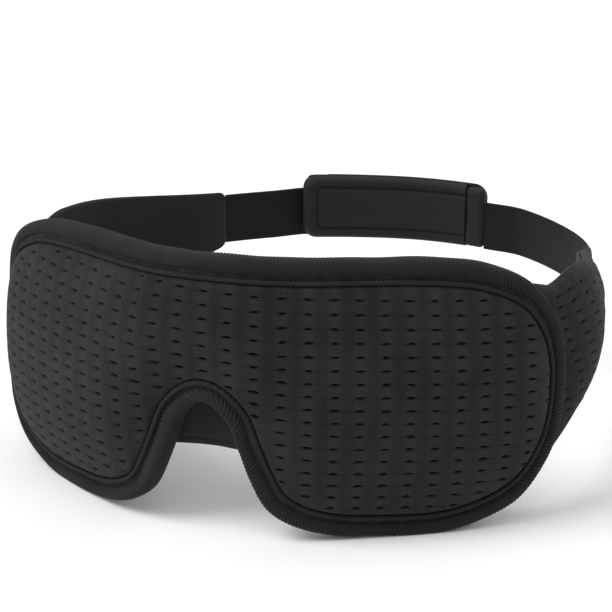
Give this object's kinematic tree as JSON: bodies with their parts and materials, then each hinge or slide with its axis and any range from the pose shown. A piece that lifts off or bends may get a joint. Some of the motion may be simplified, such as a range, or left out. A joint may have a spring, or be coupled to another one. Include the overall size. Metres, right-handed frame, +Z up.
{
  "type": "sleep eye mask",
  "caption": "Contoured padded sleep eye mask with a perforated domed front, bound edge, nose notch, eye cavities, tapered side wings and an elastic hook-and-loop strap.",
  "frame": {"origin": "centre of the bounding box, on the plane that the two lobes stand on", "axes": "+Z up; the front of the mask faces -Y; +X is to the right of someone looking at the front; the strap runs round the back at +Y"},
  "size_m": [0.1926, 0.1906, 0.0836],
  "materials": {
    "perforated_knit": "matt stretch knit with rows of small slits",
    "ribbed_tape": "matt twill tape",
    "piping_cord": "matt cord with small stitches",
    "elastic_webbing": "matt ribbed webbing",
    "foam": "matt open foam",
    "hook_tape": "satin hooks",
    "loop_tape": "brushed loops",
    "blackout_cloth": "matt dense cloth",
    "smooth_cloth": "soft satin cloth"
  },
  "bodies": {
    "mask": {"front_cover": "perforated_knit", "front_padding": "foam", "blackout_sheet": "blackout_cloth", "face_foam": "foam", "face_lining": "smooth_cloth", "left_eye_cup": "smooth_cloth", "right_eye_cup": "smooth_cloth", "edge_binding": "ribbed_tape", "edge_piping": "piping_cord", "nose_flap": "smooth_cloth", "left_wing_root": "perforated_knit", "right_wing_root": "perforated_knit"},
    "left_wing": {"left_wing_cover": "perforated_knit", "left_wing_padding": "foam", "left_wing_lining": "smooth_cloth"},
    "right_wing": {"right_wing_cover": "perforated_knit", "right_wing_padding": "foam", "right_wing_lining": "smooth_cloth"},
    "left_strap": {"left_elastic": "elastic_webbing"},
    "right_strap": {"right_elastic": "elastic_webbing"},
    "loop_pad": {"loop_pad_cover": "smooth_cloth", "loop_pad_foam": "foam", "loop_patch": "loop_tape", "loop_pad_end": "smooth_cloth"},
    "hook_pad": {"hook_pad_cover": "smooth_cloth", "hook_pad_foam": "foam", "hook_patch": "hook_tape", "hook_pad_end": "smooth_cloth"}
  },
  "joints": [
    {"name": "left_wing_fold", "type": "hinge", "parent": "mask", "child": "left_wing", "pos_m": [-0.08991, -0.03651, 0.04516], "axis": [0, 0, 1], "range_deg": [0, 45]},
    {"name": "left_strap_flex", "type": "hinge", "parent": "left_wing", "child": "left_strap", "pos_m": [-0.05405, 0.04243, 0.0597], "axis": [0, 0, 1], "range_deg": [0, 45]},
    {"name": "hook_pad_peel", "type": "hinge", "parent": "left_strap", "child": "hook_pad", "pos_m": [-0.03183, 0.06863, 0.05962], "axis": [0, 0, 1], "range_deg": [0, 70]},
    {"name": "right_wing_fold", "type": "hinge", "parent": "mask", "child": "right_wing", "pos_m": [0.08145, -0.03334, 0.04501], "axis": [0, 0, 1], "range_deg": [0, 8]},
    {"name": "right_strap_flex", "type": "hinge", "parent": "right_wing", "child": "right_strap", "pos_m": [0.07862, 0.05185, 0.05021], "axis": [0, 0, 1], "range_deg": [0, 30]},
    {"name": "loop_pad_flex", "type": "hinge", "parent": "right_strap", "child": "loop_pad", "pos_m": [0.03212, 0.08721, 0.05529], "axis": [0, 0, 1], "range_deg": [0, 40]}
  ]
}
